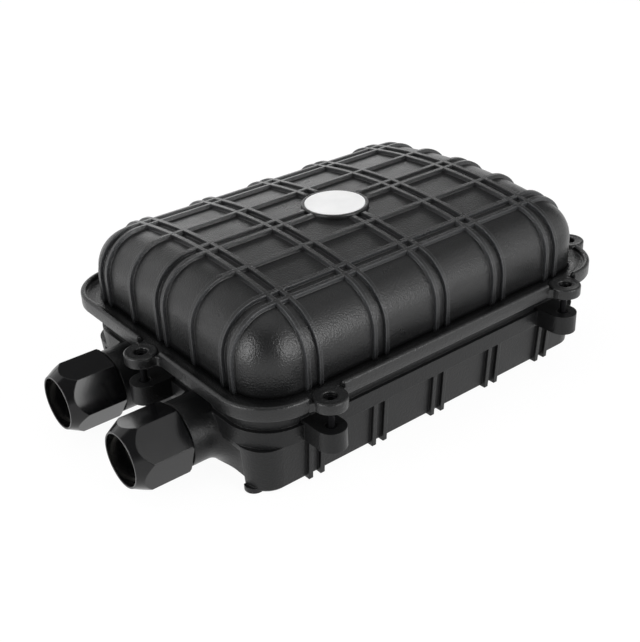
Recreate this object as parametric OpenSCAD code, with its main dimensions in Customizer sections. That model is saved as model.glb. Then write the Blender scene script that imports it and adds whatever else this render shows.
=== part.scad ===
// Fibre splice closure: a ribbed clam-shell casing with three cable glands.
// The origin is the centre of the base's underside, +Z up, X along the casing.
// The end at -X carries two glands and the end at +X carries one.

/* [Dome] */
// Length of the dome over its smooth panels
dome_l = 198; // [186:1:214]
// Width of the dome over its smooth panels
dome_w = 144.6; // [136:0.2:160]
// Height of the dome's panels above the flange plate, at the middle
dome_h = 36.8; // [32:0.2:48]
// Radius that rounds the dome's edges and corners
dome_edge_r = 19; // [14:0.5:22]
// Radius of the crown across the dome's top
crown_r = 315; // [240:5:480]
// Wall of the dome
lid_wall = 3; // [2:0.1:4]

/* [Ribs] */
// Spacing of the rib pairs along the casing
rib_pitch = 36; // [32:0.5:38]
// Spacing of the rib rows across the casing
row_pitch = 25.3; // [21:0.1:26]
// Spacing of the two ribs of a pair
pair_pitch = 6.4; // [5:0.1:9]
// Width of one rib
rib_w = 2.2; // [1.4:0.1:3]
// Height of the ribs above the panels
rib_h = 1.6; // [0.8:0.1:2.2]

/* [Lid flange] */
// How far the flange stands out from the dome's panels
flange_out = 9; // [7:0.1:12]
// Corner radius of the flange
flange_r = 25; // [20:0.5:32]
// Thickness of the flange plate
plate_t = 3.5; // [2.6:0.1:4.5]
// Height of the lip round the flange
lip_h = 6.6; // [5.4:0.1:9]
// How far the lip stands above the plate
lip_up = 2.6; // [1.4:0.1:3.2]
// Thickness of the lip
lip_t = 2.6; // [1.8:0.1:3.4]

/* [Base] */
// Height of the base up to the rim that the lid closes on
base_h = 41; // [39:0.5:54]
// Height of the outer collar's top edge
collar_z = 30.5; // [28:0.5:34]
// Height of the outer collar itself
collar_h = 8; // [6:0.5:10]
// How far the collar stands out past the dome at the ends
collar_end_out = 3; // [2:0.1:5]
// How far the collar stands out past the dome at the sides
collar_side_out = 0.7; // [0:0.1:3]
// Corner radius of the collar
collar_r = 22; // [20:0.5:28]
// Step from the collar in to the rim above it
rim_step = 2; // [1:0.1:3]
// Inset of the base's long panels below the collar
panel_step = 1.6; // [1:0.1:2.4]
// Inset of the base's end faces below the collar
end_step = 0.4; // [0.2:0.1:1.5]
// Corner radius of the base below the collar
panel_r = 13; // [10:0.5:18]
// How far the base's walls draw in down to the underside
base_draft = 1.6; // [0.4:0.1:3]
// Chamfer along the base's bottom edge
foot_chamfer = 1.5; // [0.5:0.1:2.5]
// Thickness of the floor
floor_t = 3; // [2:0.1:4]
// Depth of the recess in each end wall, from the collar's face
recess_d = 6; // [5.5:0.5:12]
// Width of the corner that stands at each side of that recess
corner_w = 15; // [13:0.5:30]
// Radius of the recess's upright corners
recess_r = 5; // [3:0.5:5]
// Height of the recess's roof
recess_z = 20; // [17:0.5:22]
// Radius of the foot at each corner of the underside
foot_r = 4.5; // [3.5:0.1:5]
// Height of those feet
foot_h = 2.5; // [2:0.1:4]

/* [Seal] */
// Width of the seal's groove
groove_w = 3; // [2.4:0.1:4]
// Depth of the seal's groove
groove_d = 4; // [3:0.1:6]
// Wall on each side of the groove
groove_wall = 1.5; // [1.2:0.1:2.4]
// Height of the seal's cross-section
seal_h = 3.2; // [2.2:0.1:3.6]
// Side clearance of the seal and of the tongue in the groove
groove_gap = 0.35; // [0.2:0.05:0.6]
// Clearance between parts that rest on each other softly
seat_gap = 0.3; // [0.1:0.05:0.5]

/* [Lid screws] */
// Radius of the ears on the lid
ear_r = 7.6; // [6.6:0.1:9]
// Thickness of the ears
ear_t = 4.2; // [3.8:0.1:6]
// How far the side ears' holes stand out from the flange
ear_side_out = 1.5; // [0:0.1:4]
// How far the end ears' holes stand out from the flange
ear_end_out = 3.5; // [1:0.1:6]
// Distance of the two ears at the +X end from the middle
ear_end_y = 52.2; // [46:0.2:54]
// Radius of the lugs on the base
lug_r = 6.7; // [6:0.1:8]
// How far the lugs rise above the collar
lug_up = 1.5; // [0:0.1:3]
// Radius of a lid screw's shank
screw_r = 1.5; // [1.25:0.05:2]
// Radius of a lid screw's head
screw_head_r = 2.7; // [2.4:0.05:3.6]
// Height of a lid screw's head
screw_head_h = 2; // [1.6:0.1:2.6]
// Depth of the screw head's recess in the ear
screw_recess = 2.8; // [2.2:0.1:3.2]
// Length of thread that a lid screw has in its insert
screw_grip = 5.4; // [4:0.1:6]
// Key size of the screw's socket, across flats
screw_key = 2.5; // [2:0.1:3]
// Outer radius of a threaded insert
insert_r = 2.6; // [2.3:0.1:3.4]
// Length of a threaded insert
insert_l = 6; // [5:0.1:7]
// Radial clearance of a running fit
fit_gap = 0.05; // [0.02:0.01:0.1]

/* [Glands] */
// Height of the cable ports' axes above the underside
port_z = 18.7; // [17.5:0.1:20]
// Distance of the paired ports from the middle
port_y = 28.8; // [24:0.2:30]
// Outer radius of a port's neck
neck_r = 13; // [12:0.1:13.6]
// Radius of the hole through a port's neck
port_r = 10.5; // [9:0.1:11]
// Length of the neck past the collar
neck_out = 27; // [24:0.5:30]
// Radius of the plain boss behind the neck's thread
boss_r = 15; // [14:0.1:15.6]
// Radius of the cove where that boss meets the wall
neck_cove = 10; // [6:0.5:12]
// Size of the gland nut across its flats
nut_af = 29; // [28:0.1:31]
// Length of the gland nut
nut_l = 26.6; // [24:0.2:30]
// Length of the nut's cone
nut_cone = 7.2; // [5:0.2:9]
// Radius of the nut's opening
nut_mouth_r = 12.05; // [11.2:0.05:12.3]
// Width of the rim round the nut's opening
nut_rim = 0.8; // [0.5:0.1:1.4]
// Radius of the largest cable that the grommet takes
cable_r = 8; // [6:0.1:9]
// Thickness of the thrust ring
thrust_t = 1.6; // [1:0.1:2.4]
// Thickness of the grommet's collar
grommet_collar = 2; // [1.4:0.1:3]
// Length of the grommet's body inside the neck
grommet_l = 12; // [9:0.5:14]

/* [Label] */
// Radius of the plain label disc
label_r = 14.5; // [12:0.1:17]
// Thickness of the label disc
label_t = 1; // [0.6:0.1:1.4]
// Width of the raised ring round the label
label_ring = 1.7; // [1:0.1:3]

/* [Splice tray] */
// Length of the splice tray
tray_l = 140; // [124:1:146]
// Width of the splice tray
tray_w = 100; // [84:1:108]
// Corner radius of the splice tray
tray_r = 24; // [18:1:32]
// Height of the tray's rim
tray_h = 9; // [7:0.5:11]
// Thickness of the tray's floor and walls
tray_wall = 1.6; // [1.2:0.1:2.2]
// Height of the tray's underside above the casing's underside
tray_z = 29.5; // [28:0.5:32]
// Radius of the fibre drums on the tray
drum_r = 18; // [15:0.5:20]
// Distance of the fibre drums from the tray's middle
drum_x = 42; // [40:0.5:46]
// Reach of the tabs that hold the fibres down
tab_l = 6; // [4:0.5:8]
// Width of those tabs
tab_w = 7; // [5:0.5:9]
// Thickness of those tabs
tab_t = 1; // [0.8:0.1:1.4]
// Number of slots in the splice holder
slots = 12; // [8:1:16]
// Spacing of the splice holder's slots
slot_pitch = 4; // [3.4:0.1:4.4]
// Width of one slot
slot_w = 2.6; // [2:0.1:3]
// Length of the splice holder
holder_l = 34; // [26:1:40]
// Height of the splice holder
holder_h = 6; // [5:0.5:7]
// Thickness of the tray's clear cover
cover_t = 1.2; // [1:0.1:1.6]

/* [Tray hinge] */
// Distance of the hinge's axis from the casing's middle
hinge_x = 62; // [56:0.5:66]
// Depth of the hinge's axis below the tray
hinge_drop = 4; // [3.5:0.1:6]
// Radius of the hinge pin
pin_r = 1.5; // [1.2:0.1:2]
// Radius of the tray's knuckles
knuckle_r = 3.2; // [2.8:0.1:4]
// Width of one knuckle
knuckle_w = 8; // [5:0.5:10]
// Distance of the knuckles from the middle
knuckle_y = 26; // [20:1:32]
// Thickness of the bracket's sheet
bracket_t = 2; // [1.5:0.1:2.5]
// Width of the bracket's feet along the casing
bracket_l = 14; // [12:0.5:18]
// Side clearance of the knuckles between the bracket's ears
side_gap = 0.3; // [0.2:0.05:0.5]

/* [Cable fixings] */
// Width of a clamp strap along the cable
clamp_w = 8; // [6:0.5:10]
// Thickness of a clamp strap
clamp_t = 1.5; // [1:0.1:2]
// Length of the strap's feet beside the cable
clamp_foot = 7; // [6:0.5:8]
// Side of a strength-member clamp's block
anchor_w = 9; // [8:0.5:11]
// Height of a strength-member clamp's block
anchor_h = 8; // [7:0.5:10]
// Radius of the hole for the strength member
anchor_r = 1.6; // [1.2:0.1:2]
// Shank radius of the small screws inside
small_screw_r = 1.25; // [1:0.05:1.5]
// Head radius of the small screws inside
small_head_r = 2.4; // [2:0.1:2.8]
// Head height of the small screws inside
small_head_h = 1.4; // [1:0.1:1.8]
// Thread length of the small screws in the floor's bosses
small_grip = 4; // [3.4:0.2:5]

/* [Hidden] */
$fn = 72;
// Run of every cut past the face that it opens
over = 1;
// Step between the dome's blended surfaces
blend_step = 0.06;
// Gap between the base's rim and the flange plate above it
close_gap = 1.5;
// Angles at which the three nuts happen to stand
nut_turns = [41, 25, 0];

// Half sizes of the dome and of what follows its outline
dome_hl = dome_l / 2;
dome_hw = dome_w / 2;
flange_hl = dome_hl + flange_out;
flange_hw = dome_hw + flange_out;
collar_hl = dome_hl + collar_end_out;
collar_hw = dome_hw + collar_side_out;
rim_hl = collar_hl - rim_step;
rim_hw = collar_hw - rim_step;
rim_r = collar_r - rim_step;
rim_t = groove_w + 2 * groove_wall;
base_wall = floor_t;

// Heights, from the underside up
collar_low = collar_z - collar_h;
groove_z = base_h - groove_d;
plate_low = base_h + close_gap;
plate_z = plate_low + plate_t;
lip_z = plate_z + lip_up;
tongue_z = groove_z + seal_h + seat_gap;
apex_z = plate_z + dome_h;
crest_z = apex_z + rib_h;

// Centres of the dome's edge radius and of its crown
edge_x = dome_hl - dome_edge_r;
edge_y = dome_hw - dome_edge_r;
crown_z = apex_z - crown_r;
edge_run = crown_r - dome_edge_r;
core_r = edge_run - dome_edge_r / 2;
crown_angle = asin(edge_y / edge_run);
edge_z = crown_z + edge_run * cos(crown_angle);

// Places of the ears, each with the way that it points
side_ear_x = 2 * rib_pitch;
side_ear_y = flange_hw + ear_side_out;
end_ear_x = flange_hl + ear_end_out;
ears = [
    [-side_ear_x, -side_ear_y, -90], [side_ear_x, -side_ear_y, -90],
    [side_ear_x, side_ear_y, 90], [-side_ear_x, side_ear_y, 90],
    [-end_ear_x, 0, 180], [end_ear_x, -ear_end_y, 0], [end_ear_x, ear_end_y, 0]
];

// Lid screws, from the ear's shoulder down into the insert
lug_z = collar_z + lug_up;
head_seat_z = plate_z - screw_recess;
screw_tip_z = lug_z - screw_grip;

// Ports: the end that each is in and its place across the casing
ports = [[-1, -port_y], [-1, port_y], [1, 0]];
recess_half = collar_hw - corner_w;
wall_in = recess_d + base_wall;
shoulder_z = neck_out + grommet_collar + thrust_t + 2 * seat_gap;
nut_mouth_l = nut_cone + nut_rim + seat_gap * 2;
nut_front_z = shoulder_z + nut_mouth_l;
nut_back_z = nut_front_z - nut_l;
nut_bore_r = neck_r + fit_gap;
seat_r = (port_r + neck_r) / 2;
thrust_hole_r = (cable_r + nut_mouth_r) / 2;

// Cable fixings
clamp_x = collar_hl - wall_in - close_gap - clamp_w / 2;
strap_in_r = cable_r + seat_gap;
strap_out_r = strap_in_r + clamp_t;
strap_half = strap_out_r + clamp_foot;
clamp_screw_y = strap_out_r + clamp_foot / 2;
anchor_x = clamp_x - clamp_w / 2 - close_gap - anchor_w / 2;
small_hole_r = small_screw_r + fit_gap;

// Splice tray and its hinge
tray_floor_z = tray_z + tray_wall;
tray_top_z = tray_z + tray_h;
holder_w = slots * slot_pitch + (slot_pitch - slot_w);
hinge_z = tray_z - hinge_drop;
ear_in_y = knuckle_w / 2 + side_gap;
boss_h = small_grip;
foot_z = floor_t + boss_h;
bracket_w = 2 * (knuckle_y + ear_in_y + bracket_t);
bracket_screw_y = knuckle_y / 2;
pin_l = bracket_w + 2 * pin_r;
post_x = tray_l / 2 - tray_r / 2;
post_y = port_y / 2;
post_r = drum_r / 4;

// A rectangle with round corners, centred
module plan(half_l, half_w, r) {
    square([2 * (half_l - r), 2 * half_w], center = true);
    square([2 * half_l, 2 * (half_w - r)], center = true);
    for (sx = [-1, 1], sy = [-1, 1])
        translate([sx * (half_l - r), sy * (half_w - r)]) circle(r);
}

// A plate or block of that outline between two heights
module slab(z0, z1, half_l, half_w, r) {
    translate([0, 0, z0]) linear_extrude(z1 - z0) plan(half_l, half_w, r);
}

// A block of that outline whose walls draw in towards its underside
module drafted(z0, z1, half_l, half_w, r, draft) {
    h = z1 - z0;
    translate([0, 0, z0]) {
        rotate([90, 0, 0]) linear_extrude(2 * (half_w - r), center = true)
            polygon([[draft - half_l, 0], [half_l - draft, 0], [half_l, h], [-half_l, h]]);
        rotate([90, 0, 90]) linear_extrude(2 * (half_l - r), center = true)
            polygon([[draft - half_w, 0], [half_w - draft, 0], [half_w, h], [-half_w, h]]);
        for (sx = [-1, 1], sy = [-1, 1])
            translate([sx * (half_l - r), sy * (half_w - r), 0]) cylinder(h, r - draft, r);
    }
}

// The crowned dome, grown outwards by g and standing on the height z0
module dome(g, z0) {
    r = dome_edge_r + g;
    run_x = edge_x - blend_step;
    slab(z0, edge_z, dome_hl + g, dome_hw + g, r);
    // Long edges and corners, a hair inside the walls so that no two surfaces only graze
    for (s = [-1, 1]) translate([0, s * edge_y, edge_z]) rotate([0, 90, 0])
        cylinder(2 * edge_x, r - 2 * blend_step, r - 2 * blend_step, center = true);
    for (sx = [-1, 1], sy = [-1, 1])
        translate([sx * edge_x, sy * edge_y, edge_z]) sphere(r - 2 * blend_step);
    // Crown with its round ends, turned about its axis
    translate([0, 0, crown_z]) rotate([0, -90, 0]) rotate([0, 0, -crown_angle])
        rotate_extrude(angle = 2 * crown_angle, $fn = 4 * $fn) {
            translate([core_r, -run_x]) square([crown_r + g - core_r, 2 * run_x]);
            translate([core_r, -run_x - r]) square([edge_run - core_r, 2 * (run_x + r)]);
            for (s = [-1, 1]) translate([edge_run, s * run_x]) circle(r);
        }
}

// Pairs of ribs across the casing at every column
module column_ribs(half_run, z0, z1) {
    for (i = [-2 : 2], s = [-1, 1])
        translate([i * rib_pitch + s * pair_pitch / 2 - rib_w / 2, -half_run, z0])
            cube([rib_w, 2 * half_run, z1 - z0]);
}

// One rib over the dome, lengthwise, with its round ends
module row_arch(y) {
    r = dome_edge_r + rib_h;
    top_z = crown_z + sqrt(pow(crown_r + rib_h, 2) - pow(y, 2));
    translate([0, y, 0]) rotate([90, 0, 0]) linear_extrude(rib_w, center = true) {
        translate([-edge_x - r, plate_low]) square([2 * (edge_x + r), top_z - r - plate_low]);
        translate([-edge_x, plate_low]) square([2 * edge_x, top_z - plate_low]);
        for (s = [-1, 1]) translate([s * edge_x, top_z - r]) circle(r);
    }
}

// Outline of an ear or a lug: round outside, full width back to the casing
module ear_plan(r, back) {
    circle(r);
    translate([-back, -r]) square([back, 2 * r]);
}

module at_ear(e) {
    translate([e[0], e[1], 0]) rotate([0, 0, e[2]]) children();
}

// Outward direction of a port becomes +Z, from the collar's end face
module at_port(p) {
    translate([p[0] * collar_hl, p[1], port_z]) rotate([0, p[0] * 90, 0]) children();
}

module at_clamp(p) {
    translate([p[0] * clamp_x, p[1], port_z]) children();
}

module tube(r_out, r_in, z0, z1) {
    difference() {
        translate([0, 0, z0]) cylinder(z1 - z0, r_out, r_out);
        translate([0, 0, z0 - over]) cylinder(z1 - z0 + 2 * over, r_in, r_in);
    }
}

// A small screw with a round head, its seat at height 0
module small_screw(grip) {
    difference() {
        union() {
            cylinder(small_head_h, small_head_r, small_head_r);
            translate([0, 0, -grip]) cylinder(grip, small_screw_r, small_screw_r);
        }
        translate([-small_head_r, -small_head_h / 4, small_head_h / 2])
            cube([2 * small_head_r, small_head_h / 2, small_head_h]);
    }
}

// Neck of one port, with the plain boss behind its nut
module neck() {
    translate([0, 0, -wall_in]) {
        cylinder(wall_in + neck_out, neck_r, neck_r);
        cylinder(wall_in + nut_back_z - 2 * seat_gap, boss_r, boss_r);
    }
}

// Cove that spreads from a boss onto the recessed wall
module cove() {
    rotate_extrude() difference() {
        translate([neck_r, -wall_in]) square([boss_r + neck_cove - neck_r, base_wall + neck_cove]);
        translate([boss_r + neck_cove, neck_cove - recess_d]) circle(neck_cove);
    }
}

module base_blank() {
    r = panel_r;
    hl = collar_hl - end_step;
    hw = collar_hw - panel_step;
    drafted(foot_chamfer, collar_low, hl, hw, r, base_draft);
    drafted(0, foot_chamfer, hl - base_draft, hw - base_draft, r - base_draft, foot_chamfer);
    // Ribs stand on the long panels, follow their draft and run down to the underside
    intersection() {
        drafted(0, collar_low, hl + rib_h, hw + rib_h, r + rib_h, base_draft);
        column_ribs(collar_hw, 0, collar_low);
    }
    for (sx = [-1, 1], sy = [-1, 1])
        translate([sx * (hl - foot_r), sy * (recess_half + foot_r / 2), 0])
            cylinder(foot_h, foot_r, foot_r);
    slab(collar_low, collar_z, collar_hl, collar_hw, collar_r);
    slab(collar_z, base_h, rim_hl, rim_hw, rim_r);
}

// Room inside the base, shorter where the end walls are set in
module base_room() {
    in_hl = rim_hl - rim_t;
    in_hw = rim_hw - rim_t;
    difference() {
        slab(floor_t, base_h + over, in_hl, in_hw, rim_r - rim_t);
        for (s = [-1, 1])
            translate([s * collar_hl, 0, recess_z / 2])
                cube([2 * wall_in, 2 * (recess_half + base_wall), recess_z + 2 * base_wall],
                     center = true);
    }
}

module end_recess(s) {
    translate([s * collar_hl, 0, -over]) linear_extrude(recess_z + over)
        plan(recess_d, recess_half, recess_r);
}

module saddle() {
    h = port_z - floor_t;
    difference() {
        translate([-clamp_w / 2, -strap_half, -h]) cube([clamp_w, 2 * strap_half, h]);
        rotate([0, 90, 0])
            cylinder(clamp_w + 2 * over, strap_in_r, strap_in_r, center = true);
        for (s = [-1, 1]) translate([0, s * clamp_screw_y, -small_grip])
            cylinder(small_grip + over, small_hole_r, small_hole_r);
    }
}

module base_shell() color([0.07, 0.07, 0.075]) difference() {
    union() {
        difference() {
            union() {
                difference() {
                    base_blank();
                    for (s = [-1, 1]) end_recess(s);
                }
                for (p = ports) at_port(p) neck();
                // The coves end at the underside and at the collar's top
                intersection() {
                    for (p = ports) at_port(p) cove();
                    slab(0, collar_z, collar_hl + neck_cove, recess_half, neck_cove);
                }
                for (e = ears) translate([0, 0, collar_low]) at_ear(e)
                    linear_extrude(lug_z - collar_low) ear_plan(lug_r, lug_back(e));
            }
            base_room();
        }
        for (p = ports) at_clamp(p) saddle();
        // Posts for the tray's free end, bosses for its bracket
        for (s = [-1, 1]) {
            translate([-post_x, s * post_y, floor_t - over])
                cylinder(tray_z - seat_gap - floor_t + over, post_r, post_r);
            translate([hinge_x, s * bracket_screw_y, floor_t - over])
                cylinder(boss_h + over, 2 * small_head_r, 2 * small_head_r);
        }
        // Low frames that hold the strength-member clamps
        for (p = ports) translate([p[0] * anchor_x, p[1], floor_t - over])
            linear_extrude(over + anchor_h / 4)
                square(anchor_w + 2 * (fit_gap + clamp_t), center = true);
    }
    for (p = ports) translate([p[0] * anchor_x, p[1], floor_t])
        linear_extrude(anchor_h) square(anchor_w + 2 * fit_gap, center = true);
    for (s = [-1, 1]) translate([hinge_x, s * bracket_screw_y, floor_t])
        cylinder(boss_h + over, small_hole_r, small_hole_r);
    // Ports through the end walls, with the grommets' seats
    for (p = ports) at_port(p) {
        translate([0, 0, -wall_in - over])
            cylinder(wall_in + neck_out + 2 * over, port_r, port_r);
        translate([0, 0, neck_out - grommet_l]) cylinder(grommet_l + over, seat_r, seat_r);
    }
    // Groove for the seal
    difference() {
        slab(groove_z, base_h + over, rim_hl - groove_wall, rim_hw - groove_wall,
             rim_r - groove_wall);
        slab(groove_z - over, base_h + 2 * over, rim_hl - groove_wall - groove_w,
             rim_hw - groove_wall - groove_w, rim_r - groove_wall - groove_w);
    }
    for (e = ears) at_ear(e) translate([0, 0, lug_z - insert_l])
        cylinder(insert_l + over, insert_r + fit_gap, insert_r + fit_gap);
}

// How far back a lug or an ear runs to reach the rim or the dome
function lug_back(e) = e[2] % 180 == 0 ? end_ear_x - rim_hl + over : side_ear_y - rim_hw + over;
function ear_back(e) = flange_out + (e[2] % 180 == 0 ? ear_end_out : ear_side_out);

// A ring that follows the seal's groove, kept clear of the groove's walls
module groove_ring(z0, z1) {
    out = groove_wall + groove_gap;
    in = groove_wall + groove_w - groove_gap;
    difference() {
        slab(z0, z1, rim_hl - out, rim_hw - out, rim_r - out);
        slab(z0 - over, z1 + over, rim_hl - in, rim_hw - in, rim_r - in);
    }
}

module lid_shell() color([0.07, 0.07, 0.075]) {
    open = groove_wall + groove_w;
    difference() {
        union() {
            dome(0, plate_low);
            intersection() {
                dome(rib_h, plate_low);
                column_ribs(flange_hw, plate_low, crest_z + over);
            }
            for (j = [-2, 0, 2], s = [-1, 1]) row_arch(j * row_pitch + s * pair_pitch / 2);
            for (j = [-1, 1]) row_arch(j * row_pitch);
            slab(plate_low, plate_z, flange_hl, flange_hw, flange_r);
            lip();
            for (e = ears) at_ear(e) translate([0, 0, plate_z - ear_t])
                linear_extrude(ear_t) ear_plan(ear_r, ear_back(e));
            translate([0, 0, apex_z - lid_wall / 2])
                cylinder(rib_h + lid_wall / 2, label_r + label_ring, label_r + label_ring);
        }
        dome(-lid_wall, plate_z);
        slab(plate_low - ear_t, plate_z + over, rim_hl - open, rim_hw - open, rim_r - open);
        for (e = ears) at_ear(e) ear_hole();
        translate([0, 0, crest_z - label_t + fit_gap])
            cylinder(label_t + over, label_r + fit_gap, label_r + fit_gap);
    }
    groove_ring(tongue_z, plate_low);
}

// The lip round the flange, open at the ears
module lip() {
    difference() {
        slab(lip_z - lip_h, lip_z, flange_hl, flange_hw, flange_r);
        slab(lip_z - lip_h - over, lip_z + over, flange_hl - lip_t, flange_hw - lip_t,
             flange_r - lip_t);
        for (e = ears) at_ear(e) translate([0, 0, plate_z])
            linear_extrude(lip_up + over) ear_plan(ear_r, ear_back(e));
    }
}

// Hole through an ear, with the recess that takes the screw's head
module ear_hole() {
    hole_r = screw_r + seat_gap;
    head_r = screw_head_r + seat_gap;
    translate([0, 0, plate_z - ear_t - over]) cylinder(ear_t + 2 * over, hole_r, hole_r);
    translate([0, 0, head_seat_z]) cylinder(screw_recess + over, head_r, head_r);
}

module label_disc() color("white") {
    translate([0, 0, crest_z - label_t + fit_gap]) cylinder(label_t, label_r, label_r);
}

module seal_ring() color([0.16, 0.16, 0.16]) groove_ring(groove_z, groove_z + seal_h);

module screw_inserts() color([0.16, 0.16, 0.17]) {
    for (e = ears) at_ear(e) tube(insert_r, screw_r + fit_gap, lug_z - insert_l, lug_z);
}

module lid_screw(i) color([0.12, 0.12, 0.13]) at_ear(ears[i]) difference() {
    union() {
        translate([0, 0, head_seat_z]) cylinder(screw_head_h, screw_head_r, screw_head_r);
        translate([0, 0, screw_tip_z]) cylinder(head_seat_z - screw_tip_z, screw_r, screw_r);
    }
    translate([0, 0, head_seat_z + screw_head_h / 3])
        cylinder(screw_head_h, screw_key / sqrt(3), screw_key / sqrt(3), $fn = 6);
}

// Hexagonal nut with a cone in front and a wide mouth for the cable
module gland_nut(i) color([0.04, 0.04, 0.045]) at_port(ports[i]) {
    corner_r = nut_af / sqrt(3);
    rim_r = nut_mouth_r + nut_rim;
    difference() {
        intersection() {
            rotate([0, 0, nut_turns[i]]) translate([0, 0, nut_back_z])
                cylinder(nut_l, corner_r, corner_r, $fn = 6);
            rotate_extrude() polygon([
                [0, nut_back_z], [corner_r - nut_rim, nut_back_z],
                [corner_r + over, nut_back_z + nut_rim + over],
                [corner_r + over, nut_front_z - nut_cone * (1 + over / (corner_r - rim_r))],
                [rim_r, nut_front_z], [0, nut_front_z]
            ]);
        }
        translate([0, 0, nut_back_z - over])
            cylinder(shoulder_z - nut_back_z + over, nut_bore_r, nut_bore_r);
        translate([0, 0, nut_back_z]) cylinder(nut_l + over, nut_mouth_r, nut_mouth_r);
    }
}

// Washer that keeps the turning nut off the grommet
module thrust_ring(i) color([0.85, 0.85, 0.82]) at_port(ports[i]) {
    z0 = neck_out + grommet_collar + seat_gap;
    tube(neck_r - seat_gap, thrust_hole_r, z0, z0 + thrust_t);
}

module gland_grommet(i) color([0.13, 0.13, 0.13]) at_port(ports[i]) {
    rotate_extrude() polygon([
        [cable_r, neck_out - grommet_l], [seat_r - seat_gap, neck_out - grommet_l],
        [seat_r - seat_gap, neck_out], [neck_r - seat_gap, neck_out],
        [neck_r - seat_gap, neck_out + grommet_collar], [cable_r, neck_out + grommet_collar]
    ]);
}

// Strap over the cable, screwed down on its saddle
module cable_clamp(i) color([0.75, 0.76, 0.78]) at_clamp(ports[i]) difference() {
    union() {
        rotate([0, 90, 0])
            cylinder(clamp_w, strap_out_r, strap_out_r, center = true);
        translate([-clamp_w / 2, -strap_half, 0]) cube([clamp_w, 2 * strap_half, clamp_t]);
    }
    rotate([0, 90, 0]) cylinder(clamp_w + 2 * over, strap_in_r, strap_in_r, center = true);
    translate([-clamp_w, -2 * strap_half, -2 * strap_out_r])
        cube([2 * clamp_w, 4 * strap_half, 2 * strap_out_r]);
    for (s = [-1, 1]) translate([0, s * clamp_screw_y, -over])
        cylinder(clamp_t + 2 * over, small_hole_r, small_hole_r);
}

module clamp_screws() color([0.7, 0.7, 0.72]) {
    for (p = ports, s = [-1, 1]) at_clamp(p) translate([0, s * clamp_screw_y, clamp_t])
        small_screw(clamp_t + small_grip);
}

module strength_clamp(i) color([0.8, 0.66, 0.35]) {
    translate([ports[i][0] * anchor_x, ports[i][1], floor_t]) difference() {
        linear_extrude(anchor_h) square(anchor_w, center = true);
        translate([0, 0, anchor_h / 2]) rotate([0, 90, 0])
            cylinder(anchor_w + 2 * over, anchor_r, anchor_r, center = true);
        translate([0, 0, anchor_h / 2]) cylinder(anchor_h, small_hole_r, small_hole_r);
    }
}

module strength_screws() color([0.7, 0.7, 0.72]) {
    for (p = ports) translate([p[0] * anchor_x, p[1], floor_t + anchor_h])
        small_screw(anchor_h / 2 - anchor_r);
}

// Steel bracket: a foot with two pairs of ears for the tray's knuckles
module tray_bracket() color([0.72, 0.73, 0.75]) {
    difference() {
        union() {
            translate([hinge_x - bracket_l / 2, -bracket_w / 2, foot_z])
                cube([bracket_l, bracket_w, bracket_t]);
            for (s = [-1, 1], t = [-1, 1])
                translate([0, s * knuckle_y + t * (ear_in_y + bracket_t / 2), 0]) bracket_ear();
        }
        translate([hinge_x, 0, hinge_z]) rotate([90, 0, 0])
            cylinder(bracket_w + 2 * over, pin_r + fit_gap, pin_r + fit_gap, center = true);
        for (s = [-1, 1]) translate([hinge_x, s * bracket_screw_y, foot_z - over])
            cylinder(bracket_t + 2 * over, small_hole_r, small_hole_r);
    }
}

module bracket_ear() {
    translate([hinge_x, 0, 0]) rotate([90, 0, 0]) linear_extrude(bracket_t, center = true) {
        translate([0, hinge_z]) circle(knuckle_r);
        translate([-knuckle_r, foot_z]) square([2 * knuckle_r, hinge_z - foot_z]);
    }
}

module bracket_screws() color([0.7, 0.7, 0.72]) {
    for (s = [-1, 1]) translate([hinge_x, s * bracket_screw_y, foot_z + bracket_t])
        small_screw(bracket_t + small_grip);
}

module hinge_pin() color([0.8, 0.8, 0.82]) translate([hinge_x, 0, hinge_z]) rotate([90, 0, 0]) {
    cylinder(pin_l, pin_r, pin_r, center = true);
    translate([0, 0, bracket_w / 2]) cylinder(pin_r, 2 * pin_r, 2 * pin_r);
}

module splice_tray() color([0.9, 0.9, 0.88]) {
    hl = tray_l / 2;
    hw = tray_w / 2;
    difference() {
        union() {
            slab(tray_z, tray_top_z, hl, hw, tray_r);
            for (s = [-1, 1]) translate([hinge_x, s * knuckle_y, 0]) knuckle();
        }
        difference() {
            slab(tray_floor_z, tray_top_z + over, hl - tray_wall, hw - tray_wall,
                 tray_r - tray_wall);
            tray_fittings();
        }
        translate([hinge_x, 0, hinge_z]) rotate([90, 0, 0])
            cylinder(bracket_w, pin_r + fit_gap, pin_r + fit_gap, center = true);
        // Finger holes in the drums
        for (s = [-1, 1]) translate([s * drum_x, 0, tray_z - over])
            cylinder(tray_h, drum_r / 2, drum_r / 2);
    }
}

module knuckle() {
    rotate([90, 0, 0]) linear_extrude(knuckle_w, center = true) {
        translate([0, hinge_z]) circle(knuckle_r);
        translate([-knuckle_r, hinge_z]) square([2 * knuckle_r, tray_floor_z - hinge_z]);
    }
}

// Drums that the fibres wind round, tabs that hold them, frame of the holder
module tray_fittings() {
    drum_top = tray_top_z - tab_t;
    for (s = [-1, 1]) translate([s * drum_x, 0, 0]) {
        tube(drum_r, drum_r - tray_wall, tray_z, drum_top);
        for (a = [45 : 90 : 315]) rotate([0, 0, a])
            tray_tab(drum_r - tray_wall, drum_top - tab_t);
    }
    for (sx = [-1.5 : 1 : 1.5], sy = [-1, 1])
        translate([sx * tray_l / 5, sy * tray_w / 2, 0]) rotate([0, 0, -sy * 90])
            tray_tab(0, drum_top);
    for (s = [-1, 1]) translate([s * tray_l / 2, 0, 0]) rotate([0, 0, 90 + s * 90])
        tray_tab(0, drum_top);
    difference() {
        slab(tray_z, tray_floor_z + tab_t, holder_l / 2 + fit_gap + tab_t,
             holder_w / 2 + fit_gap + tab_t, tab_t);
        slab(tray_floor_z, tray_top_z, holder_l / 2 + fit_gap, holder_w / 2 + fit_gap, fit_gap);
    }
}

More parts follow.
